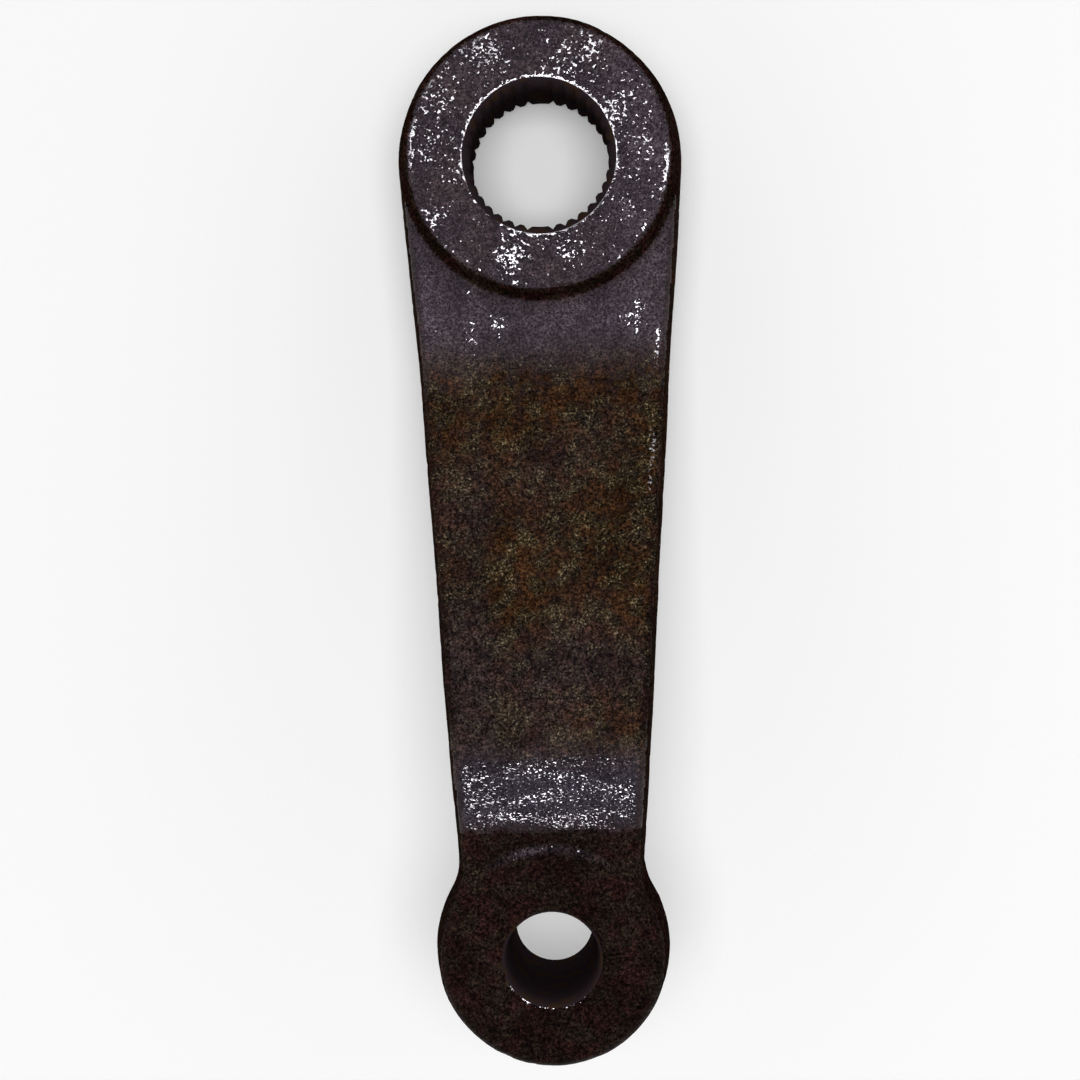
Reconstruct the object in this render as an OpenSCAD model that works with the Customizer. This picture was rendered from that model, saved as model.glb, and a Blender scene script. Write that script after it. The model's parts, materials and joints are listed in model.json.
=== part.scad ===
// Dropped pitman arm: one steel forging with a serrated hub and a tapered stud eye.
// The hub axis is the Z axis, the shaft-side face of the hub is at z = 0, the nut side faces +Z
// and the arm runs along -Y to the eye, which stands higher than the hub by the drop.

/* [Arm] */
// Distance from the hub axis to the eye axis
centre_distance = 168; // [150:1:200]
// Height of the eye's stud face above the hub's nut face
drop = 24; // [14:0.5:32]
// Thickness of the web between hub and eye
web_t = 17; // [14:0.5:19]
// Width of the web where its sides, drawn on, pass the eye axis
web_eye_w = 36.4; // [30:0.2:42]
// Radius of the hollow where the web runs into the eye
neck_r = 12; // [6:1:20]
// Length of flat web between the hub's outline and the first bend
hub_flat = 10.5; // [9:0.1:20]
// Length of flat web between the second bend and the eye's outline
eye_flat = 11; // [9:0.5:16]
// Radius of the bend next to the hub
hub_bend_r = 20; // [10:1:30]
// Radius of the bend next to the eye
eye_bend_r = 66; // [20:1:72]

/* [Forging] */
// Draft angle of the forged walls in degrees
draft = 7; // [4:0.5:9]
// Radius along the edges of the web
web_edge_r = 2; // [1:0.25:3]
// Radius along the edges of the bosses
boss_edge_r = 1.5; // [0.75:0.25:2]
// Radius in the corner where a boss rises from the web
foot_r = 2.5; // [1:0.25:4]
// How far a boss stands in from the outline around it
shoulder = 1.85; // [1:0.05:3]
// Height of the trimmed flash line around the outline
flash_h = 2.4; // [1:0.2:4]
// How far the flash line stands out of the walls
flash_out = 0.35; // [0.1:0.05:0.8]

/* [Hub] */
// Radius of the hub's outline
hub_r = 31.5; // [29:0.1:35]
// Thickness of the hub between its two faces
hub_t = 29; // [26:0.5:36]
// Height of the hub's nut face above the web
hub_step = 3.5; // [2:0.25:6]

/* [Serrated bore] */
// Diameter at the groove roots, at the nut face
serration_d = 31.75; // [28:0.05:36]
// Number of pitches around the bore
serration_pitches = 36; // [24:4:48]
// Number of grooves left out, which makes that many wide teeth
blind_teeth = 4; // [1, 2, 4]
// Depth of a groove
groove_depth = 0.95; // [0.6:0.05:1.2]
// Angle between a groove's two flanks in degrees
groove_angle = 84; // [60:1:95]
// Length of bore over which its diameter grows by one unit
serration_taper = 16; // [10:1:30]
// Width of the bore's chamfers beyond the groove roots
bore_chamfer = 0.75; // [0.25:0.05:1.5]

/* [Eye] */
// Radius of the eye's outline
eye_r = 25; // [22.5:0.1:28]
// Thickness of the eye between its two faces
eye_t = 24; // [21:0.5:30]
// Height of the eye's stud face above the web
eye_step = 0.6; // [0.2:0.1:2]
// Diameter of the stud hole at the stud face
stud_d = 19.9; // [15:0.1:24]
// Length of stud hole over which its diameter shrinks by one unit
stud_taper = 8; // [6:1:16]
// Width of the stud hole's chamfers
stud_chamfer = 0.5; // [0.2:0.1:1.5]

/* [Hidden] */
$fn = 96;

// Steps in which the skin's curves are drawn
hub_arc_steps = 18;
neck_arc_steps = 6;
eye_arc_steps = 20;
bend_steps = 6;
edge_steps = 4;
// How far a cut runs past the face it starts from
overrun = 1;
// How deep a foot fillet is sunk into the web and the wall that it joins
fillet_sink = 0.1;
fillet_bite = 0.2;
// Thickness of a foot fillet's buried back
fillet_back = 2;
// Share of a foot fillet by which it is set off towards the web, so that it fades out at the sides
fillet_set_off = 0.8;

// Levels of the two ends and of the web's middle there
half_t = web_t / 2;
eye_top = hub_t + drop;
eye_bottom = eye_top - eye_t;
hub_mid = hub_t - hub_step - half_t;
eye_mid = eye_top - eye_step - half_t;

// The ramp between the two bends
hub_bend = hub_r + hub_flat;
eye_bend = centre_distance - eye_r - eye_flat;
ramp = atan((eye_mid - hub_mid) / (eye_bend - hub_bend));
hub_bend_start = hub_bend - hub_bend_r * tan(ramp / 2);
hub_bend_end = hub_bend_start + hub_bend_r * sin(ramp);
eye_bend_end = eye_bend + eye_bend_r * tan(ramp / 2);
eye_bend_start = eye_bend_end - eye_bend_r * sin(ramp);

// The side of the web is the tangent to the hub's outline from its end at the eye axis
half_eye_w = web_eye_w / 2;
side_lean = asin(hub_r / norm([half_eye_w, centre_distance])) - atan2(half_eye_w, centre_distance);
side_normal = [cos(side_lean), -sin(side_lean)];
side_along = [sin(side_lean), cos(side_lean)];
eye_centre = [0, -centre_distance];

// The neck's hollow touches the side of the web and the eye's outline
neck_reach = hub_r + neck_r - centre_distance * sin(side_lean);
neck_rise = sqrt(pow(eye_r + neck_r, 2) - pow(neck_reach, 2));
neck_centre = eye_centre + neck_reach * side_normal + neck_rise * side_along;
neck_turn = atan2(neck_centre.y - eye_centre.y, neck_centre.x);

// Sizes of the two bores
groove_root_r = serration_d / 2;
tooth_tip_r = groove_root_r - groove_depth;
groove_lean = atan(1 / (2 * serration_taper));
stud_r = stud_d / 2;

function bore_growth(z) = (hub_t - z) / (2 * serration_taper);
function stud_growth(z) = (z - eye_top) / (2 * stud_taper);
function unit(angle) = [cos(angle), sin(angle)];

// Height of the web's middle at distance d from the hub axis
function web_mid(d) =
    d < hub_bend_start ? hub_mid
    : d < hub_bend_end ? hub_mid + hub_bend_r - sqrt(pow(hub_bend_r, 2) - pow(d - hub_bend_start, 2))
    : d < eye_bend_start ? hub_mid + (d - hub_bend) * tan(ramp)
    : d < eye_bend_end ? eye_mid - eye_bend_r + sqrt(pow(eye_bend_r, 2) - pow(eye_bend_end - d, 2))
    : eye_mid;

// Points of an arc as [point, angle of the outward normal]; a hollow arc has its centre outside the part
function arc(centre, r, from, to, steps) =
    [for (i = [0:steps]) let (a = from + (to - from) * i / steps) [centre + r * unit(a), a]];
function hollow(centre, r, from, to, steps) =
    [for (i = [0:steps]) let (a = from + (to - from) * i / steps) [centre - r * unit(a), a]];

// A point on the side of the web at distance d from the hub axis
function side_point(d) = [[(hub_r - d * sin(side_lean)) / cos(side_lean), -d], -side_lean];

// The right half of the plan outline at the parting line, from the hub's far end to the eye's far end
right_half = concat(
    arc([0, 0], hub_r, 90, -side_lean, hub_arc_steps),
    [for (i = [0:bend_steps]) side_point(hub_bend_start + hub_bend_r * sin(ramp * i / bend_steps))],
    [for (i = [bend_steps:-1:0]) side_point(eye_bend_end - eye_bend_r * sin(ramp * i / bend_steps))],
    hollow(neck_centre, neck_r, -side_lean, neck_turn, neck_arc_steps),
    [for (p = arc(eye_centre, eye_r, neck_turn, -90, eye_arc_steps)) if (p[1] < neck_turn) p]
);
half_count = len(right_half) - 1;
ring_count = 2 * half_count;
outline = concat(
    right_half,
    [for (i = [half_count - 1:-1:1]) [[-right_half[i][0].x, right_half[i][0].y], 180 - right_half[i][1]]]
);

// The skin's section from its flat face to the flash line, as [inset from the outline, height over the middle]
flash_edge = flash_h / 2 + flash_out;
edge_centre_h = half_t - web_edge_r;
wall_end_h = edge_centre_h + web_edge_r * sin(draft);
edge_inset = flash_out + (wall_end_h - flash_edge) * tan(draft) + web_edge_r * cos(draft);
upper_section = concat(
    [for (i = [edge_steps:-1:0]) let (a = draft + (90 - draft) * i / edge_steps)
        [edge_inset - web_edge_r * cos(a), edge_centre_h + web_edge_r * sin(a)]],
    [[flash_out, flash_edge], [0, flash_h / 2]]
);
section_count = len(upper_section);
section = concat(
    upper_section,
    [for (i = [section_count - 1:-1:0]) [upper_section[i][0], -upper_section[i][1]]]
);
last_ring = len(section) - 1;

function skin_point(station, inset, height) =
    let (p = station[0] - inset * unit(station[1])) [p.x, p.y, web_mid(-p.y) + height];
function at(ring, i) = ring * ring_count + i % ring_count;

// The forged skin of web, hub and eye: the outline, drawn in ring by ring along the section
module forged_skin() {
    points = [for (s = section) for (p = outline) skin_point(p, s[0], s[1])];
    walls = [for (r = [0:last_ring - 1]) for (i = [0:ring_count - 1]) each [
        [at(r, i + 1), at(r, i), at(r + 1, i)],
        [at(r, i + 1), at(r + 1, i), at(r + 1, i + 1)]
    ]];
    // A flat face is closed by strips straight across the arm
    strips = [for (i = [0:half_count - 1])
        i == 0 ? [0, 1, ring_count - 1]
        : i == half_count - 1 ? [half_count + 1, half_count - 1, half_count]
        : [ring_count - i, i, i + 1, ring_count - i - 1]];
    below = [for (s = strips) [for (i = [len(s) - 1:-1:0]) at(last_ring, s[i])]];
    polyhedron(points, concat(strips, walls, below));
}

// The half section of a boss from its middle out to its face, with a drafted wall and a round edge
function boss_side(foot, step) =
    let (
        rise = step - boss_edge_r,
        centre_r = foot - (rise + boss_edge_r * sin(draft)) * tan(draft) - boss_edge_r * cos(draft)
    )
    [for (i = [0:edge_steps]) let (a = draft + (90 - draft) * i / edge_steps)
        [centre_r + boss_edge_r * cos(a), half_t + rise + boss_edge_r * sin(a)]];

// A turned boss that stands out of both sides of the web
module boss(outline_r, step_up, step_down) {
    foot = outline_r - shoulder;
    upper = boss_side(foot, step_up);
    lower = boss_side(foot, step_down);
    rotate_extrude()
        polygon(concat(
            [[0, -half_t - step_down]],
            [for (i = [edge_steps:-1:0]) [lower[i].x, -lower[i].y]],
            [[foot + half_t * tan(draft), 0]],
            upper,
            [[0, half_t + step_up]]
        ));
}

// A hollow fillet at the foot of a boss, on the side where the web leaves it
module foot_fillet(outline_r, step) {
    r = min(foot_r, step - boss_edge_r);
    set_off = fillet_set_off * r;
    toe = outline_r - shoulder - (r - fillet_sink) * tan(draft) - fillet_bite + r - set_off;
    base = half_t - fillet_sink;
    translate([0, -set_off, 0])
        rotate_extrude()
            polygon(concat(
                [[toe - r - fillet_back, base - overrun], [toe, base - overrun]],
                [for (i = [0:edge_steps]) let (a = 270 - 90 * i / edge_steps) [toe, base + r] + r * unit(a)],
                [[toe - r - fillet_back, base + r]]
            ));
}

module hub() {
    hub_step_down = hub_mid - half_t;
    translate([0, 0, hub_mid]) {
        boss(hub_r, hub_step, hub_step_down);
        foot_fillet(hub_r, hub_step);
        mirror([0, 0, 1])
            foot_fillet(hub_r, hub_step_down);
    }
}

module eye() {
    eye_step_down = eye_mid - half_t - eye_bottom;
    translate([0, -centre_distance, eye_mid]) {
        boss(eye_r, eye_step, eye_step_down);
        rotate([180, 0, 0])
            foot_fillet(eye_r, eye_step_down);
    }
}

// A chamfer at 45 degrees that opens upwards to radius r at z = 0
module chamfer_cut(r, depth) {
    translate([0, 0, -depth])
        cylinder(h = depth + overrun, r1 = r - depth, r2 = r + overrun);
}

// One V groove along the tapered bore
module groove() {
    height = groove_depth + overrun;
    half_w = height * tan(groove_angle / 2);
    translate([groove_root_r + bore_growth(0), 0, 0])
        rotate([0, -groove_lean, 0])
            translate([0, 0, -overrun])
                linear_extrude(hub_t + 2 * overrun)
                    polygon([[0, 0], [-height, half_w], [-height, -half_w]]);
}

// The tapered bore, its grooves and the wide teeth that index it on the shaft
module serrated_bore() {
    translate([0, 0, -overrun])
        cylinder(
            h = hub_t + 2 * overrun,
            r1 = tooth_tip_r + bore_growth(-overrun),
            r2 = tooth_tip_r + bore_growth(hub_t + overrun)
        );
    for (i = [0:serration_pitches - 1])
        if (i % (serration_pitches / blind_teeth) != 0)
            rotate(360 / serration_pitches * i)
                groove();
    chamfer_depth = bore_chamfer + groove_depth + overrun;
    translate([0, 0, hub_t])
        chamfer_cut(groove_root_r + bore_chamfer, chamfer_depth);
    mirror([0, 0, 1])
        chamfer_cut(groove_root_r + bore_growth(0) + bore_chamfer, chamfer_depth);
}

// The tapered hole that takes the drag link's stud, wide at the stud face
module stud_hole() {
    translate([0, -centre_distance, 0]) {
        translate([0, 0, eye_bottom - overrun])
            cylinder(
                h = eye_t + 2 * overrun,
                r1 = stud_r + stud_growth(eye_bottom - overrun),
                r2 = stud_r + stud_growth(eye_top + overrun)
            );
        translate([0, 0, eye_top])
            chamfer_cut(stud_r + stud_chamfer, stud_chamfer + overrun);
        translate([0, 0, eye_bottom])
            mirror([0, 0, 1])
                chamfer_cut(stud_r + stud_growth(eye_bottom) + stud_chamfer, stud_chamfer + overrun);
    }
}

// The whole arm
module pitman_arm() {
    color([0.17, 0.14, 0.13])
        difference() {
            union() {
                forged_skin();
                hub();
                eye();
            }
            serrated_bore();
            stud_hole();
        }
}

pitman_arm();
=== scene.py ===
"""Looks of a forged steel pitman arm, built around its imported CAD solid."""
import json
import math

import bmesh
import bpy
import numpy as np
from mathutils import Matrix, Vector, kdtree, noise


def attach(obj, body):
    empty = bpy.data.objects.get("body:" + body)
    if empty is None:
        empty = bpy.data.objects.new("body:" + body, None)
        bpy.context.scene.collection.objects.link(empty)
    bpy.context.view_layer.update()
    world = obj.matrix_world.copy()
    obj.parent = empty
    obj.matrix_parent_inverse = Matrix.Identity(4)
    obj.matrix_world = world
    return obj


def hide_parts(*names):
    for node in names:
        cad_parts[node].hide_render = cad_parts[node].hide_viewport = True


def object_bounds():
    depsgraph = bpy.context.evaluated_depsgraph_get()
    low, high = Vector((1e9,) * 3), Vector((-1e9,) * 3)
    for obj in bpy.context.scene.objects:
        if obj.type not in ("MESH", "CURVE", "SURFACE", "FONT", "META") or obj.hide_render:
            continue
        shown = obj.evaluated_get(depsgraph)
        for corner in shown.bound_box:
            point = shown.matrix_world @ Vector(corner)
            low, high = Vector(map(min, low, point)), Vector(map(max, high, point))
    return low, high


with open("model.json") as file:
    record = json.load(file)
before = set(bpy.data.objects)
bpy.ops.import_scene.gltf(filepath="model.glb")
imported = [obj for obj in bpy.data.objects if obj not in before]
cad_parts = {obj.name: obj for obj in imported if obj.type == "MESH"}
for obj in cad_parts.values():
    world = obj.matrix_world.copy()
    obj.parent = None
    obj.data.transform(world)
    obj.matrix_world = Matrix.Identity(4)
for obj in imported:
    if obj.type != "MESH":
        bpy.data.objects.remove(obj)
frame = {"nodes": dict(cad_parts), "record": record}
cad_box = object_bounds()

# Places and levels read from the frame, in metres
NODE = "pitman_arm"
MOUNTS = {m["name"]: Vector(m["pos_m"]) for m in frame["record"]["mounts"]}
HUB_TOP = MOUNTS["shaft_nut_seat"].z
HUB_BOTTOM = MOUNTS["hub_shaft_side"].z
EYE_TOP = MOUNTS["eye_stud_side"].z
EYE_BOTTOM = MOUNTS["stud_nut_seat"].z
EYE_Y = MOUNTS["stud_hole"].y
MM = 0.001

# Skin of the forging: cell size, and wavelength, height and seed of each layer of relief
VOXEL = 0.63 * MM
SMOOTHING_PASSES = 3
SMOOTHING = 0.5
BEND_PASSES = 3
RELIEF = (
    (34 * MM, 0.30 * MM, 11),
    (12 * MM, 0.12 * MM, 12),
    (4.5 * MM, 0.05 * MM, 13),
    (2.0 * MM, 0.045 * MM, 14),
)
INSET = 0.12 * MM

# Pits and nicked edges, with the noise at which they begin and at which they are full
PIT_WAVELENGTH = 2.4 * MM
PIT_DEPTH = 0.11 * MM
PIT_SEED = 21
PIT_NOISE = (0.25, 0.6)
NICK_WAVELENGTH = 6 * MM
NICK_DEPTH = 0.25 * MM
NICK_SEED = 22
NICK_NOISE = (0.05, 0.45)
NICK_BEND = (0.02, 0.05)

# Reach of each bore's rim from its axis, and how far a cutter runs past the faces
HUB_RIM = 18 * MM
EYE_RIM = 11 * MM
CUTTER_END = 0.8 * MM

WELD = 1e-6
SHARP_ANGLE = 38


def new_object(name, data):
    """Links a new object to the scene."""
    piece = bpy.data.objects.new(name, data)
    bpy.context.scene.collection.objects.link(piece)
    return piece


def applied(piece, kind, **settings):
    """The piece's mesh after one modifier, as a new mesh."""
    modifier = piece.modifiers.new("step", kind)
    for key, value in settings.items():
        setattr(modifier, key, value)
    depsgraph = bpy.context.evaluated_depsgraph_get()
    mesh = bpy.data.meshes.new_from_object(piece.evaluated_get(depsgraph))
    piece.modifiers.remove(modifier)
    return mesh


def vertex_array(mesh, what):
    """Coordinates or normals of a mesh as an array."""
    source = mesh.vertices if what == "co" else mesh.vertex_normals
    out = np.empty(len(mesh.vertices) * 3, np.float32)
    source.foreach_get("co" if what == "co" else "vector", out)
    return out.reshape(-1, 3).astype(float)


def edge_array(mesh):
    """The two vertices of each edge."""
    out = np.empty(len(mesh.edges) * 2, np.int32)
    mesh.edges.foreach_get("vertices", out)
    return out.reshape(-1, 2)


def neighbour_mean(values, edges):
    """Mean over each vertex's neighbours."""
    count = len(values)
    a, b = edges.T
    degree = np.bincount(a, minlength=count) + np.bincount(b, minlength=count)
    flat = values.reshape(count, -1)
    columns = [np.bincount(a, c[b], count) + np.bincount(b, c[a], count) for c in flat.T]
    return (np.stack(columns, 1) / np.maximum(degree, 1)[:, None]).reshape(values.shape)


def smoothstep(start, end, x):
    """Rises smoothly from 0 at start to 1 at end; start may be the larger."""
    t = np.clip((x - start) / (end - start), 0, 1)
    return t * t * (3 - 2 * t)


def perlin(points, wavelength, seed):
    """Smooth noise about zero at the points, the same on every run."""
    shift = Vector((seed * 7.31, seed * 3.17, seed * 5.73))
    return np.array([noise.noise(Vector(p) / wavelength + shift) for p in points])


def in_bore(co):
    """Is a point on the wall or the chamfers of one of the two bores?"""
    return math.hypot(co.x, co.y) < HUB_RIM or math.hypot(co.x, co.y - EYE_Y) < EYE_RIM


def closed_mesh(name, bm):
    """Fills the open rims of a bmesh and turns it into a mesh."""
    bmesh.ops.holes_fill(bm, edges=[e for e in bm.edges if e.is_boundary])
    bmesh.ops.recalc_face_normals(bm, faces=bm.faces)
    bmesh.ops.triangulate(bm, faces=bm.faces)
    mesh = bpy.data.meshes.new(name)
    bm.to_mesh(mesh)
    bm.free()
    return mesh


def blank_and_cutter():
    """The CAD solid with its bores filled, and the bores as solids that run a little past the faces."""
    blank = bmesh.new()
    blank.from_mesh(frame["nodes"][NODE].data)
    bmesh.ops.remove_doubles(blank, verts=blank.verts, dist=WELD)
    cutter = blank.copy()
    skin = [f for f in cutter.faces if not all(in_bore(v.co) for v in f.verts)]
    bmesh.ops.delete(cutter, geom=skin, context="FACES")
    bores = [f for f in blank.faces if all(in_bore(v.co) for v in f.verts)]
    bmesh.ops.delete(blank, geom=bores, context="FACES")

    rims = [e for e in cutter.edges if e.is_boundary]
    grown = bmesh.ops.extrude_edge_only(cutter, edges=rims)["geom"]
    for v in (g for g in grown if isinstance(g, bmesh.types.BMVert)):
        at_hub = v.co.y > EYE_Y / 2
        middle = (HUB_TOP + HUB_BOTTOM) / 2 if at_hub else (EYE_TOP + EYE_BOTTOM) / 2
        out = Vector((v.co.x, v.co.y - (0 if at_hub else EYE_Y), 0)).normalized()
        out.z = math.copysign(1, v.co.z - middle)
        v.co += out * CUTTER_END
    return closed_mesh("blank", blank), closed_mesh("cutter", cutter)


def forge(mesh):
    """Smooths the remeshed skin, works the relief into it and returns how convex it is at each vertex."""
    edges = edge_array(mesh)
    co = vertex_array(mesh, "co")
    for _ in range(SMOOTHING_PASSES):
        co += SMOOTHING * (neighbour_mean(co, edges) - co)
    mesh.vertices.foreach_set("co", co.astype(np.float32).ravel())
    mesh.update()
    no = vertex_array(mesh, "no")

    bend = np.einsum("ij,ij->i", co - neighbour_mean(co, edges), no) / VOXEL
    for _ in range(BEND_PASSES):
        bend = neighbour_mean(bend, edges)

    lift = sum(height * perlin(co, wavelength, seed) for wavelength, height, seed in RELIEF) - INSET
    lift -= PIT_DEPTH * smoothstep(*PIT_NOISE, perlin(co, PIT_WAVELENGTH, PIT_SEED))
    nicks = smoothstep(*NICK_NOISE, perlin(co, NICK_WAVELENGTH, NICK_SEED)) * smoothstep(*NICK_BEND, bend)
    lift -= NICK_DEPTH * nicks
    co = np.clip(co + no * lift[:, None], *np.array(cad_box))
    mesh.vertices.foreach_set("co", co.astype(np.float32).ravel())
    mesh.update()
    return co, bend


def forged_mesh():
    """The whole arm: a forged skin with the exact bores cut into it, and its convexity at each vertex."""
    blank_mesh, cutter_mesh = blank_and_cutter()
    blank = new_object("blank", blank_mesh)
    cutter = new_object("cutter", cutter_mesh)
    blank.data = applied(blank, "REMESH", mode="VOXEL", voxel_size=VOXEL)
    bend_at, bend = forge(blank.data)
    mesh = applied(blank, "BOOLEAN", operation="DIFFERENCE", solver="MANIFOLD", object=cutter)
    for spare in (blank, cutter):
        bpy.data.objects.remove(spare)
    tree = kdtree.KDTree(len(bend_at))
    for i, p in enumerate(bend_at):
        tree.insert(p, i)
    tree.balance()
    co = vertex_array(mesh, "co")
    return mesh, co, np.array([bend[tree.find(p)[1]] for p in co])


# Regions of the skin, in millimetres: radii about the hub's or the eye's axis
NUT_FACE = 27.8
NUT_FACE_EDGE = 27.6
NUT_FACE_FOOT = (28.3, 30.6)
SHAFT_FACE = 30
BARE_HUB_RIM = 16.7
BARE_EYE_RIM = 10.5
# Radius of the painted highlight arc on the eye
EYE_ARC = 23.2
# Where radii fade in or out from one value to the other
WEB_FROM_HUB = (30, 34)
WEB_FROM_EYE = (25, 28)
SHELF_FROM_HUB = (31, 34)
UNDER_FROM_HUB = (31, 33)
# A ring of painted shadow at the foot of the nut face; the nut face's painted sheen stops where it begins
SHADOW_RING_START = (28.0, 28.5)
SHADOW_RING_END = (31.2, 30.4)

# Zones along the arm, in millimetres from the hub's axis: each fades in or out from one value to the other
SHELF_END = (49, 37)
RAMP_START = (36, 49)
RAMP_END = (131, 121)
RAMP_THINS = (80, 112)
CREST_START = (123, 131)
CREST_END = (141.5, 139.5)
EDGE_LINE_END = (134, 126)
EYE_START = (136, 142)
EYE_DUST_START = (138, 144)
EYE_DUST_END = (172, 155)
EYE_RIM_START = 173

# Zones across the arm, and below the nut face's level, in millimetres
NUT_FACE_RIGHT = (10, 22)
RAMP_LEFT = (-8, -15)
CREST_RIGHT = (24, 8)
NUT_FACE_LEVEL = (1.5, 0.7)

# Bands along the arm's sides, seen from above, in millimetres in from the outline
FLASH = (0.55, 0.2)
# Inside the side edges the colour is darkened as painted shade, where the edges round away from the light
SHADE_BAND = (3.1, 2.2)
CREST_SIDES = (2.6, 3.4)
EDGE_LINE = 3.4

# Patchiness of wear and rust: wavelength, weight and seed; streaks are drawn out across the arm
PATCHES = ((13 * MM, 0.65, 31), (5 * MM, 0.5, 34))
STREAK_WAVELENGTH = 5 * MM
STREAK_STRETCH = (0.35, 2.4, 1)
STREAK_SEED = 32
CLOUD_WAVELENGTH = 22 * MM
CLOUD_SEED = 33

# Soft round spots: x, y and radius in millimetres, and how much; the first are rubbed bright on the nut face
RUBBED = (
    (-11, 22, 4, 1.0), (-3, 24, 2.5, 1.0), (0, 19, 3, 0.9), (6, 20, 4, 1.0), (11.5, 21, 3.5, 0.9),
    (-22, 13.5, 4.5, 1.0), (17, 10, 4, 0.8), (-22, 2, 4, 0.7), (-18, -4, 2.5, 0.6), (-22, -12, 3.5, 0.9),
    (-11, -15.5, 5, 1.0), (-6.5, -21.5, 4, 1.0), (5.5, -21.5, 4, 1.0), (24, 4, 7, 0.6), (22, -9, 6, 0.55),
)
NUT_EDGE_SPOTS = ((27.5, -2.6, 4, 1.4), (-27, 4, 7, 0.5))
SHELF_SPOTS = ((-15, -36, 7, 1.0), (22, -33, 5, 0.8))
CREST_SPOTS = ((-17, -131, 5, 0.4),)
# Spots of the eye's arc place a painted highlight
EYE_ARC_SPOTS = ((-4, -145, 7, 1.0), (8, -146, 6, 0.4))


def depth_inside(x, along, r_hub, r_eye):
    """How far each vertex lies in from the arm's outline, seen from above; all in millimetres."""
    slot = np.round(along - along.min()).astype(int)
    widest = np.zeros(slot.max() + 1)
    np.maximum.at(widest, slot, np.abs(x))
    past_hub = along < 0
    past_eye = along > -EYE_Y / MM
    depth = widest[slot] - np.abs(x)
    depth[past_hub] = r_hub[past_hub].max() - r_hub[past_hub]
    depth[past_eye] = r_eye[past_eye].max() - r_eye[past_eye]
    return depth


def stripe(value, middle, edge, core):
    """A soft line where a value is near its middle: 0 beyond edge, 1 within core."""
    return smoothstep(edge, core, np.abs(value - middle))


class Skin:
    """What the masks go by at each vertex: place in millimetres, slope and patchiness."""

    def __init__(self, mesh, co, bend):
        self.x, self.y, self.z = co.T / MM
        self.along = -self.y
        self.r_hub = np.hypot(self.x, self.y)
        self.r_eye = np.hypot(self.x, self.y - EYE_Y / MM)
        self.below_nut_face = HUB_TOP / MM - self.z
        self.facing_up = vertex_array(mesh, "no")[:, 2]
        self.up = smoothstep(0.5, 0.9, self.facing_up)
        self.bend = bend
        self.patches = sum(weight * perlin(co, wavelength, seed) for wavelength, weight, seed in PATCHES)
        self.streaks = perlin(co * STREAK_STRETCH, STREAK_WAVELENGTH, STREAK_SEED)
        self.clouds = perlin(co, CLOUD_WAVELENGTH, CLOUD_SEED)
        self.inside = depth_inside(self.x, self.along, self.r_hub, self.r_eye)
        self.web = smoothstep(*WEB_FROM_HUB, self.r_hub) * smoothstep(*WEB_FROM_EYE, self.r_eye)

    def spots(self, table):
        """Soft round spots, one array for each row of a table."""
        return [
            amount * np.exp(-((self.x - x) ** 2 + (self.y - y) ** 2) / radius ** 2)
            for x, y, radius, amount in table
        ]


def hub_wear(s):
    """Rubbed patches of the nut face, its turned edge, the worn shaft face and the bore's bare rim."""
    rubbed = np.max(s.spots(RUBBED), axis=0)
    rubbed = 0.18 + 0.9 * rubbed * smoothstep(-0.35, 0.15, s.patches)
    nut_face = (s.r_hub < NUT_FACE) * smoothstep(*NUT_FACE_LEVEL, s.below_nut_face) * rubbed
    edge = 0.5 * smoothstep(-0.2, 0.2, s.patches) + sum(s.spots(NUT_EDGE_SPOTS))
    edge *= stripe(s.r_hub, NUT_FACE_EDGE, 0.7, 0.2) * smoothstep(2, 1, s.below_nut_face)
    shaft_face = 0.25 + 0.6 * smoothstep(-0.1, 0.3, s.patches)
    shaft_face *= (s.r_hub < SHAFT_FACE) * smoothstep(1.5, 0.7, s.z - HUB_BOTTOM / MM)
    rim = (0.95 + 0.9 * s.patches) * smoothstep(0.5, 0.1, s.r_hub - BARE_HUB_RIM)
    rim *= smoothstep(1, 0.3, s.below_nut_face)
    return nut_face + edge + shaft_face + rim


def body_wear(s):
    """Rubbed spots of the shelf below the hub, the line inside the right edge, and the trimmed flash."""
    shelf = s.up * sum(s.spots(SHELF_SPOTS)) * smoothstep(-0.25, 0.2, s.patches)
    line = s.up * s.web * (s.x > 0) * stripe(s.inside, EDGE_LINE, 0.7, 0.2)
    line *= smoothstep(0, 0.25, s.patches) * smoothstep(*EDGE_LINE_END, s.along)
    flash = 0.22 * smoothstep(*FLASH, s.inside) * smoothstep(-0.4, 0.1, s.patches)
    return shelf + line + flash


def eye_arc_highlight(s):
    """A painted highlight: a pale arc where the crest runs into the eye's face; it also adds a little wear
    and thins the painted shade on the eye.
    """
    return s.up * stripe(s.r_eye, EYE_ARC, 1.3, 0.3) * sum(s.spots(EYE_ARC_SPOTS))


def eye_wear(s):
    """The bare rim of the stud's hole, on the side away from the hub."""
    rim = (0.75 + 0.9 * s.patches) * smoothstep(0.5, 0.1, s.r_eye - BARE_EYE_RIM)
    return rim * smoothstep(1.5, 0.5, EYE_TOP / MM - s.z) * (s.along > EYE_RIM_START)


def crest_scuffs_and_glints(s):
    """The crest before the eye, scuffed across in streaks, least at its right end; the same mask lays
    painted glints there.
    """
    zone = s.up * smoothstep(*CREST_START, s.along) * smoothstep(*CREST_END, s.along)
    zone *= smoothstep(*CREST_SIDES, s.inside)
    streaks = 0.65 * smoothstep(-0.3, 0.3, s.streaks) * smoothstep(*CREST_RIGHT, s.x)
    return zone * (0.33 + (streaks + sum(s.spots(CREST_SPOTS))))


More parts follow.
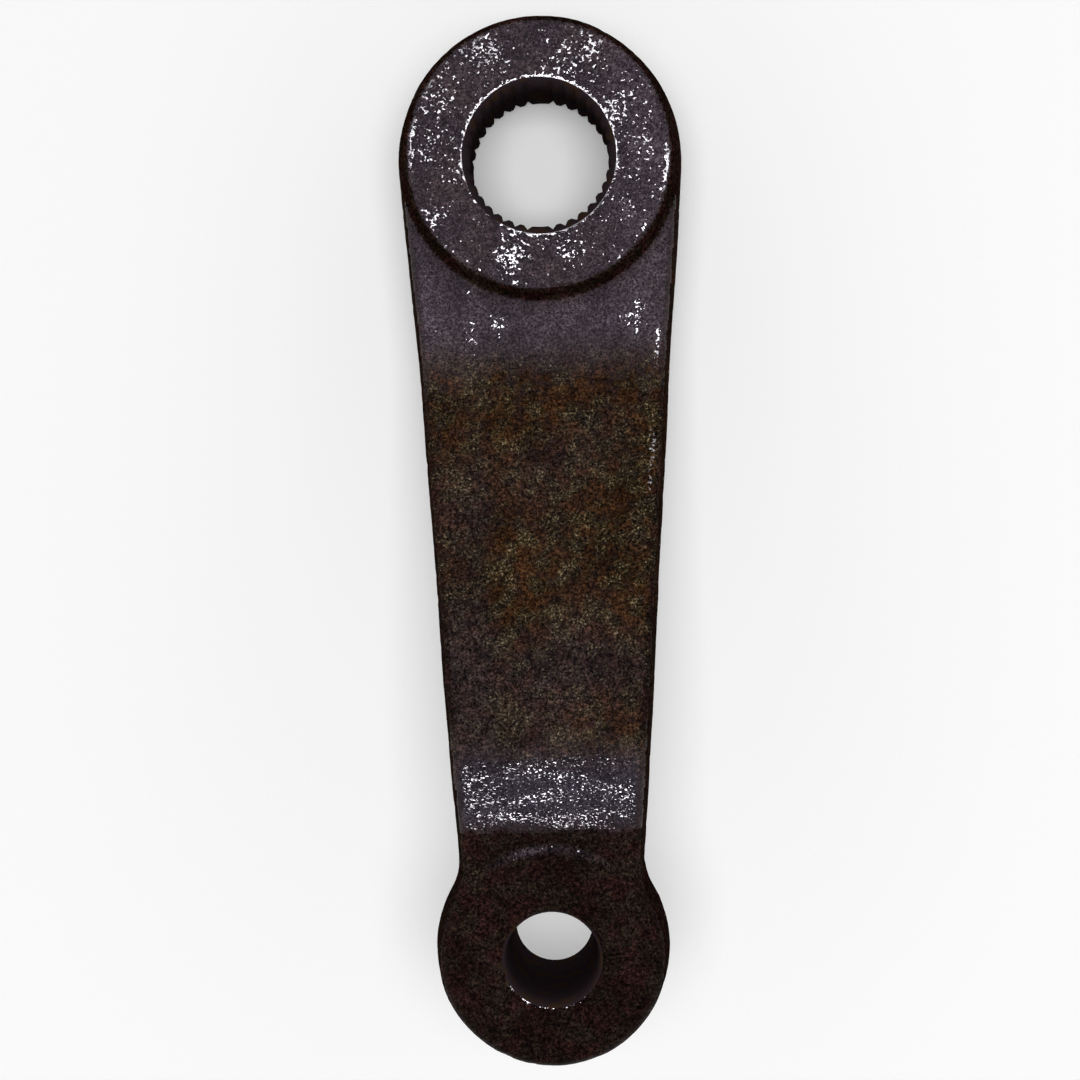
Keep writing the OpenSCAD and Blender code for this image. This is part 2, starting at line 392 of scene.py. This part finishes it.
def painted_sheen(s):
    """Painted sheen: lighter colour on the shelf below the hub, the nut face's right side and the eye's arc,
    where highlights fall.
    """
    shelf = s.up * smoothstep(*SHELF_FROM_HUB, s.r_hub) * smoothstep(*SHELF_END, s.along)
    shelf *= 0.8 + 0.9 * s.patches
    right = (s.r_hub < SHADOW_RING_START[0]) * smoothstep(*NUT_FACE_LEVEL, s.below_nut_face)
    right *= smoothstep(*NUT_FACE_RIGHT, s.x)
    return shelf + 0.8 * right * (0.8 + 0.8 * s.patches) + eye_arc_highlight(s)


def rusty_ramp(s):
    """The ramp's rust, thinner towards the crest and on the left."""
    zone = 1.25 * smoothstep(*RAMP_START, s.along) * smoothstep(*RAMP_END, s.along)
    zone *= 1 - 0.44 * smoothstep(*RAMP_THINS, s.along)
    return zone * (1 - 0.35 * smoothstep(*RAMP_LEFT, s.x))


def dust(s):
    """Dust on the ramp, and a little on the upper part of the eye."""
    on_eye = 0.12 * smoothstep(*EYE_DUST_START, s.along) * smoothstep(*EYE_DUST_END, s.along)
    return s.up * (rusty_ramp(s) + on_eye)


def rust(s):
    """Rust on the ramp, the side walls and the under side."""
    side = 0.6 * smoothstep(0.7, 0.4, np.abs(s.facing_up))
    under = 0.8 * smoothstep(-0.4, -0.8, s.facing_up) * smoothstep(*UNDER_FROM_HUB, s.r_hub)
    return np.max([rusty_ramp(s), side, under], axis=0) * (0.95 + 0.7 * s.clouds)


def painted_shade(s):
    """Painted shade: side walls, bands inside the edges where they round away from the light, the eye's
    face, a painted shadow ring at the foot of the nut face, and inner corners, all darkened.
    """
    # painted shade on the side walls, which tilt away from the light
    walls = 0.8 * smoothstep(0.985 - 0.075 * s.web, 0.9 - 0.25 * s.web, np.abs(s.facing_up))
    # painted shade in bands inside the arm's side edges
    bands = 0.8 * s.web * smoothstep(*SHADE_BAND, s.inside)
    # painted shade on the eye's face
    eye = (0.95 - 0.65 * eye_arc_highlight(s)) * smoothstep(*EYE_START, s.along)
    # painted shadow in a ring at the foot of the nut face
    ring = smoothstep(*SHADOW_RING_START, s.r_hub) * smoothstep(*SHADOW_RING_END, s.r_hub)
    ring *= smoothstep(11, 7, s.below_nut_face)
    # painted shade in the inner corners
    corners = smoothstep(-0.004, -0.03, s.bend) * (s.below_nut_face > 9)
    return np.max([walls, bands, eye, ring, corners], axis=0)


def paint_masks(mesh, co, bend):
    """Keeps how worn, scuffed, dusty and rusty each vertex is, and where sheen and shade are painted on it,
    for the materials to read.
    """
    s = Skin(mesh, co, bend)
    masks = {
        "worn": 0.8 * (hub_wear(s) + body_wear(s) + eye_wear(s) + 0.35 * eye_arc_highlight(s)),
        "crest": crest_scuffs_and_glints(s),
        "pale": painted_sheen(s),
        "dusty": dust(s),
        "rust": rust(s),
        "black": painted_shade(s),
    }
    for name, values in masks.items():
        layer = mesh.attributes.new(name, "FLOAT", "POINT")
        layer.data.foreach_set("value", np.clip(values, 0, 1).astype(np.float32))


# Gloss of the scale, in steps from the bare skin to the rusted ramp and the eye, and of the walls
SKIN_GLOSS = (0.22, 0.15, 0.08, 0.01)
WALL_GLOSS = 0.0
DULL = len(SKIN_GLOSS) - 1
WALL = DULL + 1
BORE = DULL + 2

# Where the gloss changes, in millimetres along the arm: the ramp's two ends, the width of the fades, the eye
DULL_RAMP = (46, 125)
FADE = 14
DULL_EYE = 140.5
UNDER_SIDE = 31

# Walls of the bores, in millimetres from their axes; the hub's goes further out in the shaft side's chamfer
HUB_WALL = 16.6
HUB_CHAMFER = 17.6
EYE_WALL = 10.4

# A face is a bore's wall or a side wall where its normal points up or down by less than this
BORE_SLOPE = 0.85
WALL_SLOPE = 0.55


def gloss_step(c):
    """Which step of the skin's gloss a place has; the steps' borders are ragged."""
    ragged = 5 * noise.noise(c / 4) + 5 * noise.noise(c / 1.3)
    start, end = DULL_RAMP
    into_ramp = min(ragged - c.y - start, end - ragged + c.y) / FADE + 0.5
    into_eye = 0.2 * ragged - c.y - DULL_EYE
    return min(int(max(into_ramp, into_eye, 0) * len(SKIN_GLOSS)), DULL)


def choose_materials(mesh):
    """Gives each face the bores' steel, the walls' scale or a step of the gloss; the under side is dull."""
    for face in mesh.polygons:
        c = face.center / MM
        r_hub = math.hypot(c.x, c.y)
        r_eye = math.hypot(c.x, c.y - EYE_Y / MM)
        slope = abs(face.normal.z)
        in_hub = r_hub < HUB_WALL or (r_hub < HUB_CHAMFER and c.z - HUB_BOTTOM / MM < 1)
        if (in_hub or r_eye < EYE_WALL) and slope < BORE_SLOPE:
            face.material_index = BORE
        elif slope < WALL_SLOPE or NUT_FACE_FOOT[0] < r_hub < NUT_FACE_FOOT[1]:
            face.material_index = WALL
        elif face.normal.z < 0 and r_hub > UNDER_SIDE:
            face.material_index = DULL
        else:
            face.material_index = gloss_step(c)


def add(tree, kind, inputs=None, **settings):
    """Adds a node; an input is a value or the socket that feeds it."""
    node = tree.nodes.new(kind)
    for key, value in settings.items():
        setattr(node, key, value)
    for key, value in (inputs or {}).items():
        if isinstance(value, bpy.types.NodeSocket):
            tree.links.new(value, node.inputs[key])
        else:
            node.inputs[key].default_value = value
    return node


def noise_at(tree, place, scale, detail=2.0, distortion=0.0, roughness=0.5):
    """Noise from 0 to 1, at a scale per millimetre."""
    inputs = {"Vector": place, "Scale": scale, "Detail": detail}
    inputs |= {"Distortion": distortion, "Roughness": roughness}
    return add(tree, "ShaderNodeTexNoise", inputs).outputs["Fac"]


def ramp(tree, value, low, high, start=0.0, end=1.0):
    """Goes smoothly from start to end as the value goes from low to high."""
    inputs = {"Value": value, "From Min": low, "From Max": high, "To Min": start, "To Max": end}
    return add(tree, "ShaderNodeMapRange", inputs, interpolation_type="SMOOTHSTEP").outputs["Result"]


def maths(tree, operation, a, b):
    """One sum, product or maximum."""
    return add(tree, "ShaderNodeMath", {0: a, 1: b}, operation=operation).outputs[0]


def scaled(tree, vector, factors):
    """A vector times another, part by part."""
    return add(tree, "ShaderNodeVectorMath", {0: vector, 1: factors}, operation="MULTIPLY").outputs[0]


def mixed(tree, factor, a, b, blend="MIX"):
    """Mixes two colours."""
    inputs = {0: factor, 6: a, 7: b}
    return add(tree, "ShaderNodeMix", inputs, data_type="RGBA", blend_type=blend).outputs[2]


SCALE_GREY = (0.029, 0.022, 0.027, 1)
SCALE_BROWN = (0.027, 0.019, 0.021, 1)
RUST = (0.0295, 0.0128, 0.0052, 1)
OLIVE = (0.0225, 0.0148, 0.0062, 1)
# Painted sheen: a lighter colour where highlights fall
PAINTED_SHEEN = (0.044, 0.034, 0.043, 1)
DUST = (0.12, 0.094, 0.058, 1)
# Painted glints: pale bluish flecks
PAINTED_GLINT = (0.14, 0.128, 0.172, 1)
CREST = (0.017, 0.0145, 0.0205, 1)
# Painted shade: near-black colours laid on the walls, edge bands, the eye's face and the hollows
PAINTED_SHADE = (0.013, 0.0050, 0.004, 1)
PAINTED_SHADE_OLIVE = (0.0105, 0.0065, 0.0042, 1)
STEEL = (0.52, 0.50, 0.54, 1)
BORE_DARK = (0.022, 0.015, 0.018, 1)
BORE_BROWN = (0.030, 0.017, 0.011, 1)
SHEEN_TINT = (1.0, 0.77, 0.95, 1)

# Layers of noise in the scale: scale per millimetre, detail, distortion and roughness
LAYERS = {
    "broad": (0.10, 4),
    "cloud": (0.24, 4),
    "blotch": (0.45, 3),
    "grain": (2.2, 4, 0.4, 0.75),
    "fine": (2.4, 2),
    "pocks": (1.3, 2, 0.5, 0.6),
    "speck": (2.0, 1),
    "gate": (1.1, 2),
}
# How four of them darken and lighten the colour: noise from and to, and the factors there
TONES = {
    "grain": (0.36, 0.66, 0.1, 2.3),
    "broad": (0.3, 0.7, 0.7, 1.3),
    "blotch": (0.3, 0.7, 0.7, 1.35),
    "pocks": (0.36, 0.64, 0.45, 1.55),
}
MASKS = ("worn", "crest", "pale", "dusty", "rust", "black")
SCALE_BUMP = 0.22 * MM
BORE_BUMP = 0.2 * MM


def new_material(name):
    """A material, its node tree and its shader."""
    material = bpy.data.materials.new(name)
    material.use_nodes = True
    return material, material.node_tree, material.node_tree.nodes["Principled BSDF"]


def millimetres(tree):
    """The place on the piece, in millimetres."""
    metres = add(tree, "ShaderNodeTexCoord").outputs["Object"]
    return add(tree, "ShaderNodeVectorMath", {0: metres, 3: 1000.0}, operation="SCALE").outputs[0]


def curly_lines(tree, place):
    """A network of thin lines, about a millimetre apart, bent by noise."""
    bends = add(tree, "ShaderNodeTexNoise", {"Vector": place, "Scale": 0.9, "Detail": 2.0}).outputs["Color"]
    inputs = {0: bends, 1: (1.3, 1.0, 1.3), 2: place}
    bent = add(tree, "ShaderNodeVectorMath", inputs, operation="MULTIPLY_ADD").outputs[0]
    inputs = {"Vector": scaled(tree, bent, (0.85, 1.15, 1.0)), "Scale": 0.9}
    cells = add(tree, "ShaderNodeTexVoronoi", inputs, feature="DISTANCE_TO_EDGE")
    return ramp(tree, cells.outputs["Distance"], 0.145, 0.09)


def flecks(tree, place):
    """Noise drawn out across the arm, for short strokes where it is high."""
    return noise_at(tree, scaled(tree, place, (1.0, 1.9, 1.0)), 1.8, 2, 0.6)


def opened(tree, layer, mask, help_given, low, high):
    """Where a layer of noise passes a threshold, with the help that a mask gives it."""
    return ramp(tree, maths(tree, "ADD", layer, maths(tree, "MULTIPLY", mask, help_given)), low, high)


def scale_colour(tree, layers, masks, fleck):
    """Grey and brown scale with a painted sheen, rust on the ramp, painted shade on the walls, edge bands,
    eye and hollows, dust, pocks and painted glints as pale flecks.
    """
    cloud = layers["cloud"]
    colour = mixed(tree, ramp(tree, layers["broad"], 0.4, 0.6), SCALE_GREY, SCALE_BROWN)
    # painted sheen on the shelf, the nut face's right side and the eye's arc
    colour = mixed(tree, masks["pale"], colour, PAINTED_SHEEN)
    colour = mixed(tree, ramp(tree, masks["crest"], 0.05, 0.3), colour, CREST)
    earth = mixed(tree, ramp(tree, cloud, 0.4, 0.6), RUST, OLIVE)
    rusted = maths(tree, "MULTIPLY", masks["rust"], ramp(tree, layers["blotch"], 0.3, 0.55, 0.7, 1.0))
    colour = mixed(tree, rusted, colour, earth)
    # painted shade over the walls, edge bands, the eye's face, the nut face's foot and the hollows
    black = mixed(tree, ramp(tree, cloud, 0.42, 0.58), PAINTED_SHADE, PAINTED_SHADE_OLIVE)
    colour = mixed(tree, masks["black"], colour, black)
    dusted = maths(tree, "MULTIPLY", ramp(tree, layers["fine"], 0.55, 0.66), ramp(tree, cloud, 0.42, 0.62))
    colour = mixed(tree, maths(tree, "MULTIPLY", dusted, masks["dusty"]), colour, DUST)
    for layer, tone in TONES.items():
        colour = mixed(tree, 1.0, colour, ramp(tree, layers[layer], *tone), "MULTIPLY")
    # painted glints: pale bluish flecks on the crest and where the sheen is painted
    flecked = maths(tree, "MAXIMUM", masks["crest"], maths(tree, "MULTIPLY", masks["pale"], 0.5))
    flecked = maths(tree, "MULTIPLY", flecked, ramp(tree, fleck, 0.56, 0.70, 0, 0.6))
    return mixed(tree, flecked, colour, PAINTED_GLINT)


def bare_steel(tree, place, layers, masks, fleck):
    """Where the scale is rubbed through: dots and curly lines, strokes on the crest, and whole rims."""
    worn, crest = masks["worn"], masks["crest"]
    dots = opened(tree, layers["speck"], worn, 0.12, 0.77, 0.80)
    lines = opened(tree, layers["gate"], worn, 0.325, 0.72, 0.755)
    lines = maths(tree, "MULTIPLY", curly_lines(tree, place), lines)
    marks = maths(tree, "MULTIPLY", maths(tree, "MAXIMUM", dots, lines), ramp(tree, worn, 0.02, 0.2))
    strokes = opened(tree, fleck, crest, 0.14, 0.71, 0.74)
    strokes = maths(tree, "MULTIPLY", strokes, ramp(tree, crest, 0.05, 0.4))
    rims = ramp(tree, worn, 0.9, 0.98)
    return maths(tree, "MAXIMUM", maths(tree, "MAXIMUM", marks, strokes), rims)


def forged_steel(name, gloss):
    """Rough mill scale over forged steel, rubbed through to bright metal where it is worn."""
    material, tree, shader = new_material(name)
    place = millimetres(tree)
    layers = {layer: noise_at(tree, place, *settings) for layer, settings in LAYERS.items()}
    masks = {mask: add(tree, "ShaderNodeAttribute", attribute_name=mask).outputs["Fac"] for mask in MASKS}
    fleck = flecks(tree, place)
    bright = bare_steel(tree, place, layers, masks, fleck)
    colour = mixed(tree, bright, scale_colour(tree, layers, masks, fleck), STEEL)
    tree.links.new(colour, shader.inputs["Base Color"])
    tree.links.new(bright, shader.inputs["Metallic"])
    tree.links.new(ramp(tree, layers["grain"], 0.3, 0.7, 0.24, 0.34), shader.inputs["Roughness"])
    shader.inputs["Specular IOR Level"].default_value = gloss
    shader.inputs["Specular Tint"].default_value = SHEEN_TINT

    height = maths(tree, "ADD", layers["grain"], layers["blotch"])
    height = maths(tree, "ADD", height, maths(tree, "MULTIPLY", layers["fine"], 0.5))
    height = maths(tree, "ADD", height, layers["pocks"])
    strength = ramp(tree, bright, 0, 1, 1.0, 0.25)
    bump = add(tree, "ShaderNodeBump", {"Height": height, "Strength": strength, "Distance": SCALE_BUMP})
    tree.links.new(bump.outputs["Normal"], shader.inputs["Normal"])
    return material


def bore_steel():
    """Broached and reamed walls, black with old grease."""
    material, tree, shader = new_material("bore steel")
    place = millimetres(tree)
    blotch = noise_at(tree, place, 0.3, 3)
    colour = mixed(tree, ramp(tree, blotch, 0.5, 0.65), BORE_DARK, BORE_BROWN)
    tree.links.new(colour, shader.inputs["Base Color"])
    shader.inputs["Roughness"].default_value = 0.45
    shader.inputs["Specular IOR Level"].default_value = 0.0
    height = noise_at(tree, place, 1.5, 3)
    bump = add(tree, "ShaderNodeBump", {"Height": height, "Strength": 0.4, "Distance": BORE_BUMP})
    tree.links.new(bump.outputs["Normal"], shader.inputs["Normal"])
    return material


def build_arm():
    """The arm's mesh, masks and materials, in place of its CAD node."""
    mesh, co, bend = forged_mesh()
    mesh.name = "arm"
    mesh.polygons.foreach_set("use_smooth", np.ones(len(mesh.polygons), bool))
    mesh.set_sharp_from_angle(angle=math.radians(SHARP_ANGLE))
    paint_masks(mesh, co, bend)
    mesh.materials.clear()
    for step, gloss in enumerate(SKIN_GLOSS):
        mesh.materials.append(forged_steel(f"forged steel {step}", gloss))
    mesh.materials.append(forged_steel("forged wall", WALL_GLOSS))
    mesh.materials.append(bore_steel())
    choose_materials(mesh)
    arm = new_object("arm", mesh)
    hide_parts(NODE)
    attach(arm, "root")


# Studio: a pale floor just under the hub, and a soft box high above the arm
FLOOR_HALF = 30.0
FLOOR_GAP = 0.5 * MM
FLOOR_COLOUR = (0.9, 0.9, 0.9, 1)
FLOOR_LIFT = (0.12, 0.67)
FLOOR_LIFT_REACH = (0.0, 1.3)
WHITE = (1, 1, 1, 1)
# The surround is brightest at the horizon: sines of two heights, and the levels at them
SURROUND_HEIGHTS = (0.25, 0.8)
SURROUND_LEVELS = (1.0, 0.07)
KEY_PLACE = (0.03, -0.048, 0.9)
KEY_SIZE = (0.6, 0.4)
KEY_POWER = 5.3


def pale_floor():
    """A matt floor that makes up, for the eye alone, for the light that falls off far from the object."""
    material, tree, shader = new_material("floor")
    shader.inputs["Base Color"].default_value = FLOOR_COLOUR
    shader.inputs["Roughness"].default_value = 0.9
    shader.inputs["Emission Color"].default_value = WHITE
    place = add(tree, "ShaderNodeTexCoord").outputs["Object"]
    distance = add(tree, "ShaderNodeVectorMath", {0: place}, operation="LENGTH").outputs["Value"]
    ray = add(tree, "ShaderNodeLightPath").outputs
    seen = maths(tree, "MAXIMUM", ray["Is Camera Ray"], ray["Is Glossy Ray"])
    seen = maths(tree, "MAXIMUM", seen, ray["Is Transmission Ray"])
    lift = maths(tree, "MULTIPLY", seen, ramp(tree, distance, *FLOOR_LIFT_REACH, *FLOOR_LIFT))
    tree.links.new(lift, shader.inputs["Emission Strength"])
    return material


def build_floor():
    """A wide square floor."""
    s = FLOOR_HALF
    mesh = bpy.data.meshes.new("floor")
    mesh.from_pydata([(-s, -s, 0), (s, -s, 0), (s, s, 0), (-s, s, 0)], [], [(0, 1, 2, 3)])
    mesh.materials.append(pale_floor())
    floor = new_object("floor", mesh)
    floor.location.z = HUB_BOTTOM - FLOOR_GAP


def build_lights():
    """The surround and the soft box."""
    world = bpy.data.worlds.new("surround")
    world.use_nodes = True
    tree = world.node_tree
    background = tree.nodes["Background"]
    background.inputs["Color"].default_value = WHITE
    direction = add(tree, "ShaderNodeTexCoord").outputs["Generated"]
    height = add(tree, "ShaderNodeSeparateXYZ", {0: direction}).outputs["Z"]
    level = ramp(tree, height, *SURROUND_HEIGHTS, *SURROUND_LEVELS)
    tree.links.new(level, background.inputs["Strength"])
    bpy.context.scene.world = world

    key = bpy.data.lights.new("key", "AREA")
    key.shape = "RECTANGLE"
    key.size, key.size_y = KEY_SIZE
    key.energy = KEY_POWER
    new_object("key", key).location = KEY_PLACE


# Camera fitted to the photograph: place in metres, turns in degrees, field of view
CAMERA_PLACE = (0.00905, -0.05337, 0.37484)
CAMERA_TURNS = (-4.829, 1.74, -1.22)
CAMERA_VIEW = 37.484


def build_camera():
    """The camera, turned about Z, then X, then Y."""
    lens = bpy.data.cameras.new("camera")
    lens.sensor_fit = "HORIZONTAL"
    lens.angle = math.radians(CAMERA_VIEW)
    turn_x, turn_y, turn_z = (math.radians(a) for a in CAMERA_TURNS)
    turn = Matrix.Rotation(turn_y, 4, "Y") @ Matrix.Rotation(turn_x, 4, "X")
    turn = turn @ Matrix.Rotation(turn_z, 4, "Z")
    camera = new_object("camera", lens)
    camera.matrix_world = Matrix.Translation(CAMERA_PLACE) @ turn
    bpy.context.scene.camera = camera


build_arm()
build_floor()
build_lights()
build_camera()
bpy.context.scene.view_settings.view_transform = "Standard"
